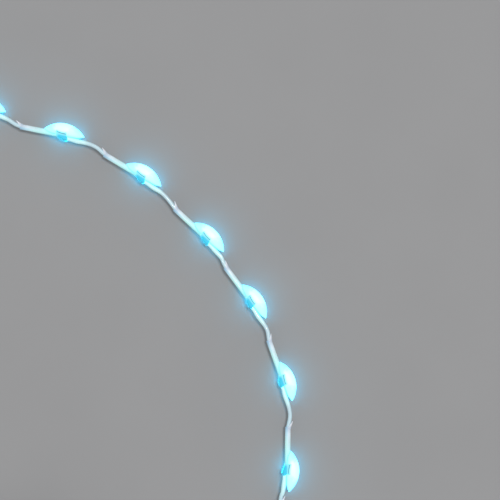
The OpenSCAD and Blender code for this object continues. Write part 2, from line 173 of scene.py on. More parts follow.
class Shader:
    """A material with one Principled BSDF, and short ways to add nodes to it."""

    def __init__(self, name, colour, roughness, **settings):
        self.material = bpy.data.materials.new(name)
        self.material.use_nodes = True
        self.tree = self.material.node_tree
        self.bsdf = self.tree.nodes["Principled BSDF"]
        self.set("Base Color", (*colour, 1))
        self.set("Roughness", roughness)
        for key, value in settings.items():
            self.set(key.replace("_", " ").title(), value)

    def set(self, socket, value):
        self.bsdf.inputs[socket].default_value = value

    def add(self, kind, inputs=(), **settings):
        made = self.tree.nodes.new("ShaderNode" + kind)
        for key, value in settings.items():
            setattr(made, key, value)
        for socket, value in dict(inputs).items():
            if isinstance(value, bpy.types.NodeSocket):
                self.tree.links.new(value, made.inputs[socket])
            else:
                made.inputs[socket].default_value = value
        return made

    def product(self, first, *others):
        for other in others:
            first = self.add("Math", {0: first, 1: other}, operation="MULTIPLY").outputs[0]
        return first

    def link(self, output, socket):
        self.tree.links.new(output, self.bsdf.inputs[socket])

    def millimetres(self):
        place_in = self.add("TexCoord").outputs["Object"]
        scaled = self.add("VectorMath", {0: place_in, "Scale": 1 / MM}, operation="SCALE")
        return scaled.outputs["Vector"]

    def attribute(self, name):
        return self.add("Attribute", attribute_name=name)

    def split(self, vector):
        return self.add("SeparateXYZ", {0: vector}).outputs

    def share(self, value, low, high, start=0.0, end=1.0):
        inputs = {"Value": value, "From Min": low, "From Max": high, "To Min": start, "To Max": end}
        return self.add("MapRange", inputs).outputs["Result"]

    def ramp(self, value, stops, interpolation="LINEAR"):
        made = self.add("ValToRGB", {0: value})
        made.color_ramp.interpolation = interpolation
        elements = made.color_ramp.elements
        while len(elements) < len(stops):
            elements.new(0.5)
        for element, (position, colour) in zip(elements, stops):
            element.position = position
            element.color = (*colour, 1)
        return made.outputs["Color"]

    def mix(self, share, first, second, blend="MIX"):
        made = self.add("Mix", data_type="RGBA", blend_type=blend)
        for socket, value in zip((made.inputs[0], made.inputs[6], made.inputs[7]), (share, first, second)):
            if isinstance(value, bpy.types.NodeSocket):
                self.tree.links.new(value, socket)
            else:
                socket.default_value = (*value, 1) if isinstance(value, tuple) else value
        return made.outputs[2]

    def noise(self, vector, size, detail=3.0):
        """Noise whose grain is about the given size."""
        inputs = {"Vector": vector, "Scale": 1 / size, "Detail": detail}
        return self.add("TexNoise", inputs).outputs["Fac"]

    def bump(self, height, depth):
        """Bump of a height between 0 and 1, the depth in millimetres."""
        made = self.add("Bump", {"Height": height, "Distance": depth * MM, "Strength": 1.0})
        self.link(made.outputs["Normal"], "Normal")

    def grain(self, vector, size, depth, low, high):
        """Fine surface texture: bump and roughness from one noise."""
        fine = self.noise(vector, size)
        self.bump(fine, depth)
        self.link(self.share(fine, *NOISE_RANGE, low, high), "Roughness")


def times(colour, factor):
    return tuple(channel * factor for channel in colour)


def moulded(name, colour, roughness, grain=0.35, depth=0.02, mottle=0.12, **settings):
    """Moulded plastic or rubber: a fine surface texture and slightly uneven colour."""
    made = Shader(name, colour, roughness, **settings)
    where = made.millimetres()
    cloud = made.noise(where, 9.0)
    tone = made.ramp(cloud, [(0.3, times(colour, 1 - mottle)), (0.7, times(colour, 1 + mottle))])
    made.link(tone, "Base Color")
    made.grain(where, grain, depth, roughness - 0.08, roughness + 0.08)
    return made.material


def metal(name, colour, roughness, stretch):
    """Bright metal with fine drawing lines across one direction."""
    made = Shader(name, colour, roughness, metallic=1.0)
    lined = made.add("Mapping", {"Vector": made.millimetres(), "Scale": stretch})
    lines = made.noise(lined.outputs["Vector"], 0.6, 4.0)
    made.bump(lines, 0.006)
    made.link(made.share(lines, *NOISE_RANGE, roughness - 0.1, roughness + 0.1), "Roughness")
    made.link(made.ramp(lines, [(0.25, times(colour, 0.85)), (0.75, colour)]), "Base Color")
    return made.material


# Lit materials: each has one strength of glow, whose colour changes over the pod. The lens glows with the
# light of its LED; the clip, the sleeve and the wire are no lamps, and their glow is painted light from it.
LENS_STRENGTH = 3.0
CLIP_STRENGTH = 16.0
WIRE_STRENGTH = 5.0
# The lens is whitest in a fan that opens from the hook; the ramp runs from the right wing to the left one
FAN_CENTRE = (-1.05, -2.4)
LENS_GLOW = [
    (0.0, (0.09, 0.62, 1.0)),
    (0.16, (0.1, 0.64, 1.0)),
    (0.3, (0.17, 0.7, 1.0)),
    (0.62, (0.17, 0.7, 1.0)),
    (0.8, (0.08, 0.62, 1.0)),
    (1.0, (0.08, 0.58, 1.0)),
]
LENS_BASE = (0.3, 0.62, 0.7)
# Painted shade in the slit by the hook and along the wing's foot: a darker base colour and a dim glow
SLIT_SHADE_BASE = (0.1, 0.2, 0.22)
SLIT_LIGHT = (0.12, 0.3, 0.34)
LED_SPOT = (1.5, 2.4, 0)
LED_GLOW = (0.18, 0.62, 0.85)
LED_FADE = (0.4, 2.4)
LED_SHARE = 0.25
FAN_START = 0.15
FAN_CLOUD = 0.06


def lens_material():
    made = Shader("lit_lens", LENS_BASE, 0.45, emission_strength=LENS_STRENGTH)
    made.set("Coat Weight", 0.15)
    made.set("Coat Roughness", 0.4)
    where = made.millimetres()
    x, y, _ = made.split(where)
    over = made.add("Math", {0: y, 1: FAN_CENTRE[1]}, operation="SUBTRACT").outputs[0]
    beside = made.add("Math", {0: x, 1: FAN_CENTRE[0]}, operation="SUBTRACT").outputs[0]
    angle = made.add("Math", {0: over, 1: beside}, operation="ARCTAN2").outputs[0]
    cloud = made.share(made.noise(where, 2.5), *NOISE_RANGE, -FAN_CLOUD, FAN_CLOUD)
    fan = made.add("Math", {0: made.share(angle, FAN_START, math.pi), 1: cloud}).outputs[0]
    glow = made.ramp(fan, LENS_GLOW, "EASE")
    plan = made.add("CombineXYZ", {"X": x, "Y": y}).outputs[0]
    away = made.add("VectorMath", {0: plan, 1: LED_SPOT}, operation="DISTANCE").outputs["Value"]
    glow = made.mix(made.share(away, *LED_FADE, LED_SHARE, 0.0), glow, LED_GLOW)
    # Painted shade on the foot's wall, as far as the foot attribute reaches: dim glow and darker base colour
    slit = made.attribute("foot").outputs["Fac"]
    made.link(made.mix(slit, glow, times(SLIT_LIGHT, 1 / LENS_STRENGTH)), "Emission Color")
    made.link(made.mix(slit, LENS_BASE, SLIT_SHADE_BASE), "Base Color")
    made.grain(where, 0.25, 0.012, 0.38, 0.52)
    return made.material


# The clip is no lamp: all its glow is painted light from the pod's LED. The clip's front glows calmer than
# its lower faces, which light the floor round it, and its glow pales beside the sleeve
CLIP_BASE = (0.01, 0.1, 0.14)
CLIP_FRONT = [
    (0.05, (0.0025, 0.018, 0.024)),
    (0.15, (0.0025, 0.025, 0.034)),
    (0.3, (0.0023, 0.032, 0.045)),
    (0.6, (0.0023, 0.032, 0.045)),
    (0.78, (0.016, 0.047, 0.053)),
]
CLIP_UNDER = [(0.3, (0.01, 0.6, 1.0)), (0.42, (0.008, 0.45, 0.75)), (0.6, (0.003, 0.13, 0.22))]
CLIP_PALE_GLOW = (0.018, 0.049, 0.054)
HUB_WALL_SHARE = 0.35
CLIP_FRONT_Y = (-3.6, 0.4)
CLIP_UNDER_Y = (-3.6, 5)
CLIP_PALE_X = (-2.2, -3.7)
CLIP_UNDER_X = (-3.6, -6)
FACING_DOWN = (-0.3, -0.9)
FACING_SIDEWAYS = (0.3, 0.1)
HUB_WALL_Y = (-2, -2.6)
HUB_WALL_Z = (3.2, 4.2)
SLIT_Y = (-0.7, -0.3)
SLIT_LOW_Z = (3.5, 3.75)
SLIT_HIGH_Z = (6.7, 6.2)


def clip_material():
    made = Shader("lit_clip", CLIP_BASE, 0.5, emission_strength=CLIP_STRENGTH)
    made.set("Specular IOR Level", 0.3)
    where = made.attribute("pod").outputs["Vector"]
    x, y, z = made.split(where)
    front = made.ramp(made.share(y, *CLIP_FRONT_Y), CLIP_FRONT)
    front = made.mix(made.share(x, *CLIP_PALE_X), front, CLIP_PALE_GLOW)
    under = made.ramp(made.share(y, *CLIP_UNDER_Y), CLIP_UNDER)
    under = made.mix(made.share(x, *CLIP_UNDER_X), under, CLIP_UNDER[-1][1])
    # Painted light by facing: faces turned down glow brighter than the front, and sideways faces on the hub
    # side take some of their glow
    _, _, upward = made.split(made.add("NewGeometry").outputs["Normal"])
    glow = made.mix(made.share(upward, *FACING_DOWN), front, under)
    upright = made.share(upward, *FACING_SIDEWAYS, 0, HUB_WALL_SHARE)
    hub_wall = made.product(upright, made.share(y, *HUB_WALL_Y), made.share(z, *HUB_WALL_Z))
    glow = made.mix(hub_wall, glow, under)
    # Painted shade in the slit beside the lens: there the glow drops to a dim light and the base colour
    # changes to the slit's
    slit = made.product(made.share(y, *SLIT_Y), made.share(z, *SLIT_LOW_Z), made.share(z, *SLIT_HIGH_Z))
    made.link(made.mix(slit, glow, times(SLIT_LIGHT, 1 / CLIP_STRENGTH)), "Emission Color")
    made.link(made.mix(slit, CLIP_BASE, SLIT_SHADE_BASE), "Base Color")
    made.grain(where, 0.3, 0.01, 0.42, 0.58)
    return made.material


# Sleeve, from its free end to the hook: colours of its hub side and of its rim side. The sleeve is clear; the
# cyan in these colours and all of its glow is painted light from the pod's LED, and its paler rim side at the
# free end is a painted highlight
SLEEVE_HUB_PAINTED_LIGHT = [(0.18, (0.4, 0.58, 0.72)), (0.6, (0.4, 0.58, 0.7)), (0.95, (0.36, 0.57, 0.7))]
SLEEVE_RIM_PAINTED_LIGHT = [
    (0.1, (0.8, 0.84, 0.88)), (0.18, (0.48, 0.6, 0.7)),
    (0.6, (0.42, 0.58, 0.72)), (0.95, (0.36, 0.57, 0.7)),
]
SLEEVE_HUB_GLOW = [
    (0.18, (0.0, 0.008, 0.016)), (0.32, (0.03, 0.05, 0.05)), (0.5, (0.04, 0.074, 0.054)),
    (0.77, (0.03, 0.085, 0.06)), (0.955, (0.02, 0.085, 0.065)),
]
SLEEVE_RIM_GLOW = [
    (0.18, (0.01, 0.006, 0.01)), (0.32, (0.05, 0.05, 0.045)), (0.5, (0.036, 0.05, 0.035)),
    (0.77, (0.03, 0.08, 0.055)), (0.955, (0.02, 0.085, 0.065)),
]
SLEEVE_RUN = (-26, -4)
SLEEVE_HUB_TO_RIM = (-0.9, -0.5)


def sleeve_material():
    made = Shader("clear_sleeve", SLEEVE_HUB_PAINTED_LIGHT[1][1], 0.25, emission_strength=WIRE_STRENGTH, coat_weight=0.4)
    where = made.attribute("pod").outputs["Vector"]
    x, y, _ = made.split(where)
    along = made.share(x, *SLEEVE_RUN)
    side = made.share(y, *SLEEVE_HUB_TO_RIM)
    # Base colour and glow hold painted light: cyan from the LED towards the hook, and a paler rim side
    made.link(made.mix(side, made.ramp(along, SLEEVE_HUB_PAINTED_LIGHT), made.ramp(along, SLEEVE_RIM_PAINTED_LIGHT)), "Base Color")
    glow = made.mix(side, made.ramp(along, SLEEVE_HUB_GLOW), made.ramp(along, SLEEVE_RIM_GLOW))
    made.link(glow, "Emission Color")
    made.grain(where, 0.5, 0.01, 0.18, 0.34)
    return made.material


# The wire's own white is on the pack's lead; between the pods its colour carries a painted cyan tint of the
# pods' light, and beside them it glows with painted light
BETWEEN_PODS = 0.25
WIRE_WHITE_AND_PAINTED_LIGHT = [(0.0, (0.68, 0.73, 0.77)), (BETWEEN_PODS, (0.5, 0.66, 0.73))]
WIRE_GLOW = [
    (0.0, (0.0, 0.004, 0.006)), (BETWEEN_PODS, (0.012, 0.019, 0.021)),
    (0.6, (0.014, 0.03, 0.027)), (1.0, (0.03, 0.06, 0.05)),
]


def wire_material():
    made = Shader("lit_wire", WIRE_WHITE_AND_PAINTED_LIGHT[1][1], 0.3, emission_strength=WIRE_STRENGTH, coat_weight=0.3)
    where = made.millimetres()
    lit = made.attribute("lit").outputs["Fac"]
    cloud = made.share(made.noise(where, 3.0), *NOISE_RANGE)
    tone = made.mix(cloud, (0.96, 0.96, 0.96), (1.0, 1.0, 1.0))
    # Base colour with the painted cyan tint between the pods, and painted glow beside them
    made.link(made.mix(1.0, made.ramp(lit, WIRE_WHITE_AND_PAINTED_LIGHT), tone, "MULTIPLY"), "Base Color")
    made.link(made.ramp(lit, WIRE_GLOW), "Emission Color")
    made.grain(where, 0.5, 0.008, 0.22, 0.38)
    return made.material


lit_lens = lens_material()
lit_clip = clip_material()
clear_sleeve = sleeve_material()
lit_wire = wire_material()

# Wire: its size, where it enters and leaves a clip, and its lie in the axes of the pods at both ends
WIRE_R = 1.0
WIRE_Z = 5.4
IN_Y = -0.65
IN_END = -1.7
OUT_Y = -2.0
OUT_START = -0.2
HOOK_RIGHT = 1.6
LEAVE = [(OUT_START, OUT_Y), (1.9, OUT_Y), (4.0, -2.05), (7.5, -2.35)]
LEAVE_END = (11.5, -2.35)
STRAIGHT_FROM = -20.0
ENTER_START = (-27.0, 0.3)
ENTER = [(-25.2, 0.0), (-23.0, -0.45), (STRAIGHT_FROM, IN_Y), (-12.0, IN_Y), (IN_END, IN_Y)]
SHORT_GAP = 5.0
LEAD_MOUTH = -25.0
WIRE_STEP = 0.9
LEAD_SIDES = 14
# Lead: its way from the first sleeve to the pack, along the hub line, across it and up, in metres
LEAD_ROUTE_M = [
    (-0.0059, 0.009, 0.0052), (-0.0084, 0.0131, 0.0043), (-0.0134, 0.0168, 0.003), (-0.0204, 0.0184, 0.0018),
    (-0.029, 0.0172, 0.0011), (-0.041, 0.012, 0.00102), (-0.054, 0.0045, 0.00102), (-0.066, -0.0015, 0.0012),
    (-0.077, -0.0025, 0.0026), (-0.087, -0.0005, 0.0044), (-0.094, 0.0, 0.0052), (-0.1095, 0.0, 0.0052),
]
PACK_REACH_M = 0.1415


def at_feed(along, across, up):
    """Point in metres from the feed's own line, which starts a set way outside the pack."""
    return pack @ (Vector((along + PACK_REACH_M, across, up)) / MM)


def in_pod(pod, x, y, z=WIRE_Z):
    return pod @ Vector((x, y, z))


def add_lead():
    first = pods[0]
    points = [in_pod(first, x, IN_Y) for x in (IN_END, STRAIGHT_FROM, LEAD_MOUTH)]
    points += [at_feed(*point) for point in LEAD_ROUTE_M]
    route = smooth_route(points, 2 * WIRE_R * MM)
    route.reverse()
    bm = bmesh.new()
    lit = bm.verts.layers.float.new("lit")
    for ring in sweep(bm, route, [WIRE_R * MM] * len(route), LEAD_SIDES):
        for vert in ring:
            vert[lit] = 0.0
    lead = add_piece("pack_lead", to_mesh("pack_lead", bm), ["feed_lead"], lit_wire)


add_lead()


# Wires from pod to pod, each with a moulded swelling where it leaves its clip
SWELL_AT = 8.0
SWELL_SPAN = 4.0
SWELL_R = 0.14
SWELL_DROP = 0.08
LIT_FADE = (10.5, 15)
WIRE_SIDES = 16


def span_points(pod, following):
    """Points on a wire's way. Where the ends of its two halves are near each other, they meet halfway."""
    end, start = in_pod(pod, *LEAVE_END), in_pod(following, *ENTER_START)
    middle = [end, start] if (start - end).length > SHORT_GAP * MM else [(end + start) / 2]
    leaving = [in_pod(pod, *point) for point in LEAVE]
    entering = [in_pod(following, *point) for point in ENTER]
    return [*leaving, *middle, *entering]


def swelling(pod, point):
    """How far a wire's point is into the swelling of its clip's outlet, from 0 to 1."""
    x = (pod.inverted() @ point).x
    return math.exp(-(((x - SWELL_AT) / SWELL_SPAN) ** 2)) * smooth_step(HOOK_RIGHT - 1, HOOK_RIGHT + 3, x)


def add_wires():
    bm = bmesh.new()
    lit = bm.verts.layers.float.new("lit")
    for pod, following in zip(pods, pods[1:]):
        route = smooth_route(span_points(pod, following), WIRE_STEP * MM)
        inward = -pod.to_3x3().col[1]
        swells = [swelling(pod, point) for point in route]
        shifted = [point + SWELL_DROP * swell * inward for point, swell in zip(route, swells)]
        radii = [MM * (WIRE_R + SWELL_R * swell) for swell in swells]
        for ring, point in zip(sweep(bm, shifted, radii, WIRE_SIDES), route):
            away = smooth_step(*LIT_FADE, (pod.inverted() @ point).x)
            for vert in ring:
                vert[lit] = 1 + (BETWEEN_PODS - 1) * away
    add_piece("string_wires", to_mesh("string_wires", bm), ["wire_spans"], lit_wire)


add_wires()


# Lenses: half-moon domes that swell towards the rim, each with a free wing at its right
LENS_HALF = 11.05
LENS_RISE = 5.4
LENS_Z = 6.0
LENS_BACK = 3.8
CROWN_R = 30.0
CROWN_TOP = 10.0
LENS_FOOT = 0.87
LIP_Z = (6.6, 7.1)
NOTCH_LEFT = (-4.0, -3.5)
NOTCH_RIGHT = (1.5, 2.1)
SLIT_HALF = 0.15
SLIT_CURVE = 0.04
SLIT_LOW_X = 0.5
OVER_SLEEVE_Y = -0.85
OVER_SLEEVE_X = -4
OVER_SLEEVE_CURVE = 0.032
WING_FOOT = -0.95
WING_RISE = 1.2
WING_BEND = 7
WING_SPAN = 4
WING_POWER = 1.6
TIP_X = 10.85
ARC_R = (LENS_HALF**2 + LENS_RISE**2) / (2 * LENS_RISE)
EDGE_POWER = 11
LENS_STATIONS = 40
LENS_SIDES = 48
STEP_STATIONS = 6
STEP_MARGIN = 0.1
LEFT_TRIM = 0.06
FOOT_FADE = 6
WING_SHADE = 0.2
WING_SHADE_GAIN = 0.7
WING_SHADE_X = (6, 10.5)


def arc_radius(x):
    return math.sqrt(ARC_R**2 - x * x) - ARC_R + LENS_RISE


def slit_line(x):
    """Middle of the slit between the lens and the hook, which curves up at its left end."""
    return SLIT_CURVE * (x - SLIT_LOW_X) ** 2


def wing(x):
    return WING_FOOT + WING_RISE * max(0.0, (x - WING_BEND) / WING_SPAN) ** WING_POWER


def lip(x):
    """The lens's front edge towards the hub: an arc over the sleeve, the slit's edge, then the wing."""
    over_sleeve = OVER_SLEEVE_Y + OVER_SLEEVE_CURVE * (x - OVER_SLEEVE_X) ** 2
    edge = over_sleeve + (slit_line(x) + SLIT_HALF - over_sleeve) * smooth_step(*NOTCH_LEFT, x)
    return edge + (wing(x) - edge) * smooth_step(*NOTCH_RIGHT, x)


def foot(x):
    """The lens's edge under its lip: beside the sleeve and the hook, then the wing."""
    return max(lip(x), LENS_FOOT + (wing(x) - LENS_FOOT) * smooth_step(*NOTCH_RIGHT, x))


def to_edge(x, y, z, away):
    """Distance from a point to the lens's edge towards the hub, which steps in under the lip."""
    if away.x >= 0:
        return math.inf
    height = z + (foot(x) - y) / away.x * away.y
    edge = foot(x) + (lip(x) - foot(x)) * smooth_step(*LIP_Z, height)
    return (edge - y) / away.x


def to_circle(y, z, centre_z, radius, away):
    """Distance from a point to a circle on the axis, in the direction of away."""
    from_centre = Vector((y, z - centre_z))
    along = from_centre.dot(away)
    return math.sqrt(along * along - from_centre.length_squared + radius * radius) - along


def lens_ring(x):
    """Points of one cross-section, and how much each lies on the foot's wall."""
    radius = arc_radius(x)
    y = (max(foot(x), -radius) + radius) / 2
    half = math.sqrt(radius * radius - y * y)
    z = (max(LENS_BACK, LENS_Z - half) + min(CROWN_TOP, LENS_Z + half)) / 2
    points = []
    for j in range(LENS_SIDES):
        angle = 2 * math.pi * (j + 0.5) / LENS_SIDES
        away = Vector((math.cos(angle), math.sin(angle)))
        reaches = [
            to_circle(y, z, LENS_Z, radius, away),
            to_circle(y, z, CROWN_TOP - CROWN_R, math.sqrt(CROWN_R**2 - x * x), away),
        ]
        to_foot = to_edge(x, y, z, away)
        to_back = (z - LENS_BACK) / -away.y if away.y < 0 else math.inf
        reaches += [to_foot, to_back]
        reach = sum(r**-EDGE_POWER for r in reaches) ** (-1 / EDGE_POWER)
        points.append((Vector((x, y + reach * away.x, z + reach * away.y)), (reach / to_foot) ** FOOT_FADE))
    return points


def lens_stations():
    left = -math.sqrt(ARC_R**2 - (ARC_R - LENS_RISE + LENS_FOOT + LEFT_TRIM) ** 2)
    turns = [math.pi * i / LENS_STATIONS for i in range(LENS_STATIONS + 1)]
    even = [left + (TIP_X - left) * (1 - math.cos(turn)) / 2 for turn in turns]
    steps = (NOTCH_LEFT, NOTCH_RIGHT)
    counts = range(STEP_STATIONS + 1)
    fine = [low + (high - low) * i / STEP_STATIONS for low, high in steps for i in counts]
    kept_off = [(low - STEP_MARGIN, high + STEP_MARGIN) for low, high in steps]
    coarse = [x for x in even if all(not low < x < high for low, high in kept_off)]
    return sorted(coarse + fine)


def lens_mesh():
    bm = bmesh.new()
    # The foot attribute is a mask of painted shade on the lens's foot wall: full in the notch by the hook,
    # slight elsewhere and deeper towards the wing's tip
    slit = bm.verts.layers.float.new("foot")
    rings = []
    for x in lens_stations():
        ring = []
        for point, on_foot in lens_ring(x):
            vert = bm.verts.new(MM * point)
            in_notch = smooth_step(*NOTCH_LEFT, x) * (1 - smooth_step(*NOTCH_RIGHT, x))
            by_wing = WING_SHADE + WING_SHADE_GAIN * smooth_step(*WING_SHADE_X, x)
            vert[slit] = on_foot * max(in_notch, by_wing)
            ring.append(vert)
        rings.append(ring)
    bridge(bm, rings)
    bm.faces.new(rings[0])
    bm.faces.new(rings[-1])
    return to_mesh("lens_dome", bm, sharp_angle=60)


def add_lenses():
    mesh = lens_mesh()
    mesh.materials.append(lit_lens)
    for number, pod in enumerate(pods, 1):
        dome = bpy.data.objects.new(f"lens_dome_{number:02d}", mesh)
        dome.matrix_world = pod @ Matrix.Scale(1 / MM, 4)
        scene.collection.objects.link(dome)
        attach(dome, "light")
        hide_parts(f"lens_{number:02d}")


add_lenses()


# Clips: back plate, cradle for the sleeve and the hook that snaps over the spoke
HOOK_R = 2.6
HOOK_ENDS = (-2.3, -3.5)
HOOK_FAR = 2.5
HOOK_CORNER = 1.1
HOOK_TOP = 7.0
HOOK_INSET = 0.3
HOOK_EDGE = 0.4
PLATE_LOW = 3.0
PLATE_EDGE = 0.15
CRADLE_LENGTH = 6.5
CRADLE_OVERLAP = 0.5
CRADLE_HALF = 1.1
CRADLE_HIGH = 1.3
CRADLE_EDGE = 0.12
SPOKE_Z = 1.6
SPOKE_R = 1.03
MOUTH_HALF = 0.85
SLEEVE_R = 1.4
SLEEVE_CUT = -22.6
BORE_R = 1.1
BORE_SPARE = 0.1
OVERRUN = 1
KEYHOLE_REACH = 6
ROD_SIDES = 30
RIM_STEPS = 24
SLIT_STEPS = 10
LEVEL_WITHIN = 1e-6


def arc(centre_x, centre_y, radius, start, end, count):
    angles = [math.radians(start + (end - start) * i / count) for i in range(count + 1)]
    return [(centre_x + radius * math.cos(a), centre_y + radius * math.sin(a)) for a in angles]


def hook_outline():
    """Plan of the hook: its hub end slants down to the wire's outlet, and its rim edge follows the slit."""
    left, right = HOOK_X - HOOK_R, HOOK_RIGHT - HOOK_INSET
    near = arc(left + HOOK_CORNER, HOOK_ENDS[0] + HOOK_CORNER, HOOK_CORNER, 180, 260, 8)
    far = arc(HOOK_FAR - HOOK_CORNER, HOOK_ENDS[1] + HOOK_CORNER, HOOK_CORNER, 260, 380, 12)
    xs = [right + (left - right) * i / SLIT_STEPS for i in range(SLIT_STEPS + 1)]
    return [*near, *far, *[(x, slit_line(x) - SLIT_HALF) for x in xs]]


def plate_outline():
    inset, end, bend = 0.4, LENS_HALF - 0.6, 8.5
    xs = [end - 2 * end * i / RIM_STEPS for i in range(RIM_STEPS + 1)]
    rim = [(x, math.sqrt((ARC_R - inset) ** 2 - x * x) - ARC_R + LENS_RISE) for x in xs]
    low, by_wing = IN_Y - 1.3, WING_FOOT + 0.3
    return [(-end, low), (HOOK_RIGHT, low), (HOOK_RIGHT, by_wing), (bend, by_wing), (end, -0.1), *rim]


def cradle_outline():
    left, right = HOOK_X - HOOK_R - CRADLE_LENGTH, HOOK_X - HOOK_R + CRADLE_OVERLAP
    low, high = IN_Y - CRADLE_HALF, IN_Y + CRADLE_HALF
    return [(left, low), (right, low), (right, high), (left, high)]


def keyhole_outline():
    start = math.degrees(math.asin(MOUTH_HALF / SPOKE_R)) - 90
    flare, mouth_z = 2.0, 0.6
    round_part = arc(HOOK_X, SPOKE_Z, SPOKE_R, start, 180 - start, 28)
    left = [(HOOK_X - MOUTH_HALF, mouth_z), (HOOK_X - flare, -OVERRUN)]
    right = [(HOOK_X + flare, -OVERRUN), (HOOK_X + MOUTH_HALF, mouth_z)]
    return [*round_part, *left, *right]


def prism(outline, low, high, edge=0.0):
    """Temporary object: an outline raised from low to high, with rounded top and bottom rims."""
    bm = bmesh.new()
    floor = bm.faces.new([bm.verts.new((x, y, low)) for x, y in outline])
    raised = bmesh.ops.extrude_face_region(bm, geom=[floor])["geom"]
    lifted = [part for part in raised if isinstance(part, bmesh.types.BMVert)]
    bmesh.ops.translate(bm, vec=(0, 0, high - low), verts=lifted)
    bmesh.ops.recalc_face_normals(bm, faces=bm.faces)
    if edge:
        rims = [e for e in bm.edges if abs(e.verts[0].co.z - e.verts[1].co.z) < LEVEL_WITHIN]
        bmesh.ops.bevel(bm, geom=rims, offset=edge, segments=3, profile=0.5, affect="EDGES")
    mesh = to_mesh("prism", bm)
    made = bpy.data.objects.new("prism", mesh)
    scene.collection.objects.link(made)
    return made


def turned(tool, turn):
    tool.data.transform(turn)
    return tool


def rod(radius, start, end, y):
    """Temporary object: a cylinder along a pod's x axis at the wire's height."""
    lying = Matrix.Translation((0, y, WIRE_Z)) @ Matrix.Rotation(math.radians(90), 4, "Y")
    outline = arc(0, 0, radius, 0, 360 - 360 / ROD_SIDES, ROD_SIDES - 1)
    return turned(prism(outline, start, end), lying)


def combine(body, tools, operation):
    for tool in tools:
        joint = body.modifiers.new("join", "BOOLEAN")
        joint.operation = operation
        joint.object = tool
        joint.solver = "EXACT"
    graph = bpy.context.evaluated_depsgraph_get()
    mesh = bpy.data.meshes.new_from_object(body.evaluated_get(graph))
    for used in (body, *tools):
        bpy.data.objects.remove(used)
    made = bpy.data.objects.new("joined", mesh)
    scene.collection.objects.link(made)
    return made


def clip_mesh(has_outlet):
    body = prism(hook_outline(), 0, HOOK_TOP, HOOK_EDGE)
    plate = prism(plate_outline(), PLATE_LOW, LENS_BACK, PLATE_EDGE)
    cradle = prism(cradle_outline(), PLATE_LOW, PLATE_LOW + CRADLE_HIGH, CRADLE_EDGE)
    body = combine(body, [plate, cradle], "UNION")
    upright = Matrix.Rotation(math.radians(90), 4, "X")
    tools = [
        turned(prism(keyhole_outline(), -KEYHOLE_REACH, KEYHOLE_REACH), upright),
        rod(SLEEVE_R, SLEEVE_CUT, HOOK_X - HOOK_R, IN_Y),
        rod(BORE_R, HOOK_X - HOOK_R - OVERRUN, IN_END + BORE_SPARE, IN_Y),
    ]
    if has_outlet:
        tools.append(rod(BORE_R, OUT_START - BORE_SPARE, HOOK_RIGHT + OVERRUN, OUT_Y))
    joined = combine(body, tools, "DIFFERENCE")
    mesh = joined.data
    bpy.data.objects.remove(joined)
    return mesh


def add_clips():
    with_outlet, last = clip_mesh(True), clip_mesh(False)
    bm = bmesh.new()
    local = bm.verts.layers.float_vector.new("pod")
    for number, pod in enumerate(pods, 1):
        start = len(bm.verts)
        bm.from_mesh(last if number == len(pods) else with_outlet)
        bm.verts.ensure_lookup_table()
        for vert in bm.verts[start:]:
            vert[local] = vert.co
            vert.co = pod @ vert.co
    add_piece("spoke_clips", to_mesh("spoke_clips", bm, sharp_angle=35), ["pod_bases"], lit_clip)


add_clips()


# Sleeves: clear tubes with a slit along the front and a free end cut like a quill
SLEEVE_END = -3.65
QUILL_TIP = -25.4
QUILL_SIDE = 0.3
QUILL_POINT = 0.1
FLARE_START = -21.5
QUILL_FLARES = [1.2, 1.6, 0.8, 1.0, 1.2, 1.5]
SLIT_DEPTH = 0.16
SLEEVE_SIDES = 40
SLEEVE_STATIONS = 14
STATION_POWER = 1.6
WALL_GAP = 0.02
SAME_PLACE = 0.001


def sleeve_start(side):
    """Where the sleeve starts, for a place on its round that lies side millimetres off its axis."""
    slant = (side - QUILL_SIDE) / (SLEEVE_R - QUILL_POINT - QUILL_SIDE)
    return SLEEVE_CUT + (QUILL_TIP - SLEEVE_CUT) * min(1.0, max(0.0, slant))


def sleeve_point(turn, share, radius, flare):
    side, over = math.cos(turn), math.sin(turn)
    start = sleeve_start(SLEEVE_R * side)
    x = start + (SLEEVE_END - start) * share
    beyond = max(0.0, (FLARE_START - x) / (FLARE_START - QUILL_TIP)) * smooth_step(0.0, 0.8, side)
    return Vector((x, IN_Y + radius * side + flare * beyond, WIRE_Z + radius * over))


def add_sleeve(bm, local, pod, flare):
    turns = [2 * math.pi * j / SLEEVE_SIDES + math.pi / 2 for j in range(SLEEVE_SIDES)]
    shares = [(i / SLEEVE_STATIONS) ** STATION_POWER for i in range(SLEEVE_STATIONS + 1)]
    outside, inside = [], []
    for share in shares:
        radii = [SLEEVE_R - SLIT_DEPTH * (j == 0) for j in range(SLEEVE_SIDES)]
        outside.append([sleeve_point(turn, share, radius, flare) for turn, radius in zip(turns, radii)])
        inside.append([sleeve_point(turn, share, BORE_R + WALL_GAP, flare) for turn in turns])
    rings = []
    for ring in (*outside, *reversed(inside), outside[0]):
        rings.append([bm.verts.new(pod @ point) for point in ring])
        for vert, point in zip(rings[-1], ring):
            vert[local] = point
    bridge(bm, rings)
    return rings[0] + rings[-1]


def add_sleeves():
    bm = bmesh.new()
    local = bm.verts.layers.float_vector.new("pod")
    ends = []
    for number, pod in enumerate(pods):
        ends += add_sleeve(bm, local, pod, QUILL_FLARES[number % len(QUILL_FLARES)])
    bmesh.ops.remove_doubles(bm, verts=ends, dist=SAME_PLACE * MM)
    mesh = to_mesh("wire_sleeves", bm, sharp_angle=50)
    add_piece("wire_sleeves", mesh, ["sleeves"], clear_sleeve)


add_sleeves()


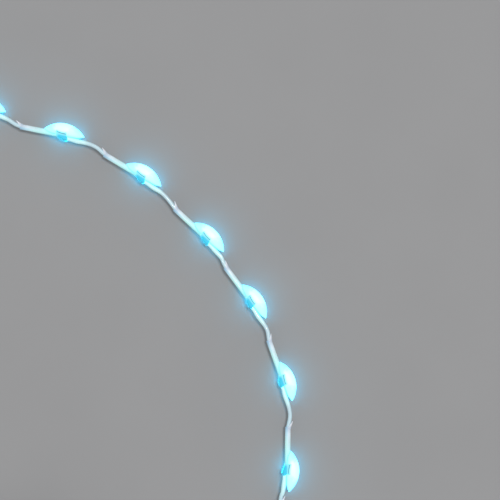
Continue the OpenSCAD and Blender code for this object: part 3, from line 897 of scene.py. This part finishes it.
# Pack: its solids keep their shape, with rounded edges and finished materials
LINE_ALONG_U = (0.05, 1.0, 1.0)
steel = metal("bright_steel", (0.62, 0.62, 0.64), 0.3, LINE_ALONG_U)
case_plastic = moulded("case_plastic", (0.055, 0.058, 0.062), 0.55, depth=0.03)
door_plastic = moulded("door_plastic", (0.075, 0.079, 0.085), 0.5, depth=0.03)
latch_plastic = moulded("latch_plastic", (0.55, 0.56, 0.58), 0.35, grain=0.6, depth=0.01, mottle=0.05)
black_plastic = moulded("black_plastic", (0.02, 0.02, 0.022), 0.45)
switch_plastic = moulded("switch_plastic", (0.1, 0.1, 0.105), 0.45)
black_rubber = moulded("black_rubber", (0.018, 0.018, 0.018), 0.75, grain=0.5, depth=0.03)
button_rubber = moulded("button_rubber", (0.03, 0.3, 0.5), 0.6, grain=0.4, depth=0.02)
contact_metal = metal("contact_metal", (0.75, 0.6, 0.28), 0.35, LINE_ALONG_U)
led_body = moulded("led_body", (0.85, 0.85, 0.8), 0.4, mottle=0.04)


def board_material():
    made = Shader("board_green", (0.02, 0.13, 0.06), 0.35)
    where = made.millimetres()
    cells = made.add("TexVoronoi", {"Vector": where, "Scale": 0.5}, feature="DISTANCE_TO_EDGE")
    track = made.share(cells.outputs["Distance"], 0.05, 0.09)
    made.link(made.mix(track, (0.05, 0.24, 0.1), (0.015, 0.11, 0.05)), "Base Color")
    made.grain(where, 0.4, 0.01, 0.28, 0.42)
    return made.material


CELL_RUN = (-33, 21)
CELL_BANDS = [(0.0, (0.55, 0.55, 0.57)), (0.03, (0.03, 0.07, 0.16)), (0.74, (0.5, 0.3, 0.12))]


def cell_material():
    """Wrapped can: a dark wrap with a plain copper band at the nub's end of the outer cells."""
    made = Shader("cell_wrap", (0.03, 0.07, 0.16), 0.3, metallic=0.6, coat_weight=0.5)
    outward = pack.to_3x3().col[0].normalized()
    where = made.millimetres()
    along = made.add("VectorMath", {0: where, 1: outward}, operation="DOT_PRODUCT").outputs["Value"]
    centre = pack.translation.dot(outward) / MM
    low, high = (centre + end for end in CELL_RUN)
    bands = made.ramp(made.share(along, low, high), CELL_BANDS, "CONSTANT")
    made.link(bands, "Base Color")
    made.grain(where, 0.8, 0.006, 0.24, 0.36)
    return made.material


board_green = board_material()
cell_wrap = cell_material()

# Finish of each solid: material and how far its edges are rounded
FINISHES = {
    "case_body": (case_plastic, 0.5),
    "battery_door": (door_plastic, 0.45),
    "door_gasket": (black_rubber, 0.0),
    "hinge_pin": (steel, 0.15),
    "turn_latch": (latch_plastic, 0.35),
    "switch_cover": (case_plastic, 0.4),
    "pack_screws": (steel, 0.12),
    "mode_button": (button_rubber, 0.4),
    "switch_plunger": (black_plastic, 0.1),
    "tact_switch": (switch_plastic, 0.15),
    "control_board": (board_green, 0.0),
    "controller_chip": (black_plastic, 0.1),
    "batteries": (cell_wrap, 0.4),
    "contact_plates": (contact_metal, 0.08),
    "lead_grommet": (black_rubber, 0.25),
    "pod_boards": (board_green, 0.0),
    "pod_leds": (led_body, 0.0),
    "pod_resistors": (black_plastic, 0.0),
}
WELD_DISTANCE = 0.002
FLAT_ANGLE = math.radians(1.0)
SHARP_ANGLE = math.radians(32)


def finish_solid(name, material, edge):
    solid = frame["nodes"][name]
    for slot in solid.material_slots:
        slot.material = material
    weld = solid.modifiers.new("weld", "WELD")
    weld.merge_threshold = WELD_DISTANCE * MM
    if not edge:
        return
    flat = solid.modifiers.new("flat", "DECIMATE")
    flat.decimate_type = "DISSOLVE"
    flat.angle_limit = FLAT_ANGLE
    rounding = solid.modifiers.new("rounding", "BEVEL")
    rounding.width = edge * MM
    rounding.segments = 3
    rounding.limit_method = "ANGLE"
    rounding.angle_limit = SHARP_ANGLE
    rounding.harden_normals = True


for solid_name, (solid_material, solid_edge) in FINISHES.items():
    finish_solid(solid_name, solid_material, solid_edge)


# Battery springs: coils in the pack's own axes, the middle one turned round
BAY_START = -34.7
BAY_LENGTH = 55.7
CELL_PITCH = 14.9
CELL_Z = 9.15
SPRING_R = 4.0
SPRING_WIRE_R = 0.35
SPRING_LOW = 0.81
SPRING_RISE = 3.48
SPRING_TURNS = 3
TURN_STEPS = 32
SPRING_SIDES = 10


def spring_route(row):
    steps = SPRING_TURNS * TURN_STEPS
    points = []
    for i in range(steps + 1):
        angle = 2 * math.pi * i / TURN_STEPS
        along = SPRING_LOW + SPRING_RISE * i / steps
        u = BAY_START + BAY_LENGTH - along if row == 0 else BAY_START + along
        across = SPRING_R * math.cos(angle) * (-1 if row == 0 else 1)
        points.append(pack @ Vector((u, row * CELL_PITCH + across, CELL_Z + SPRING_R * math.sin(angle))))
    return points


def add_springs():
    bm = bmesh.new()
    axis = pack.to_3x3().col[0].normalized()
    for row in (-1, 0, 1):
        route = spring_route(row)
        sweep(bm, route, [SPRING_WIRE_R * MM] * len(route), SPRING_SIDES, axis)
    add_piece("coil_springs", to_mesh("coil_springs", bm), ["battery_springs"], steel)


add_springs()


# Studio: pale floor, soft key light from the rim's side and an even fill
FLOOR_HALF_M = 6.0
FLOOR_DROP_M = 0.0002
FLOOR_COLOUR = (0.3, 0.3, 0.305)
BACKGROUND = (0.62, 0.62, 0.63)
FILL_LEVEL = 0.55
KEY_LEVEL = 0.45
KEY_TILT = math.radians(13)
KEY_TURN = math.radians(-10)
KEY_SOFTNESS = math.radians(9)


def add_floor():
    made = Shader("floor", FLOOR_COLOUR, 0.8)
    where = made.millimetres()
    tones = [(0.3, times(FLOOR_COLOUR, 0.985)), (0.7, times(FLOOR_COLOUR, 1.015))]
    made.link(made.ramp(made.noise(where, 60.0), tones), "Base Color")
    bm = bmesh.new()
    bmesh.ops.create_grid(bm, x_segments=8, y_segments=8, size=FLOOR_HALF_M)
    mesh = to_mesh("floor", bm)
    mesh.materials.append(made.material)
    floor = bpy.data.objects.new("floor", mesh)
    floor.location.z = -FLOOR_DROP_M
    scene.collection.objects.link(floor)


def add_world():
    world = bpy.data.worlds.new("studio")
    world.use_nodes = True
    scene.world = world
    tree = world.node_tree
    fill = tree.nodes["Background"]
    fill.inputs["Color"].default_value = (1, 1, 1, 1)
    fill.inputs["Strength"].default_value = FILL_LEVEL
    seen = tree.nodes.new("ShaderNodeBackground")
    seen.inputs["Color"].default_value = (*BACKGROUND, 1)
    rays = tree.nodes.new("ShaderNodeLightPath")
    direct = rays.outputs["Is Camera Ray"]
    for kind in ("Is Glossy Ray", "Is Transmission Ray"):
        either = tree.nodes.new("ShaderNodeMath")
        either.operation = "MAXIMUM"
        tree.links.new(direct, either.inputs[0])
        tree.links.new(rays.outputs[kind], either.inputs[1])
        direct = either.outputs[0]
    mixed = tree.nodes.new("ShaderNodeMixShader")
    tree.links.new(direct, mixed.inputs[0])
    tree.links.new(fill.outputs[0], mixed.inputs[1])
    tree.links.new(seen.outputs[0], mixed.inputs[2])
    tree.links.new(mixed.outputs[0], tree.nodes["World Output"].inputs["Surface"])


def add_key():
    data = bpy.data.lights.new("key", "SUN")
    data.energy = KEY_LEVEL * math.pi / math.cos(KEY_TILT)
    data.angle = KEY_SOFTNESS
    key = bpy.data.objects.new("key", data)
    key.rotation_euler = (0, KEY_TILT, KEY_TURN)
    scene.collection.objects.link(key)


add_floor()
add_world()
add_key()
scene.view_settings.view_transform = "Standard"
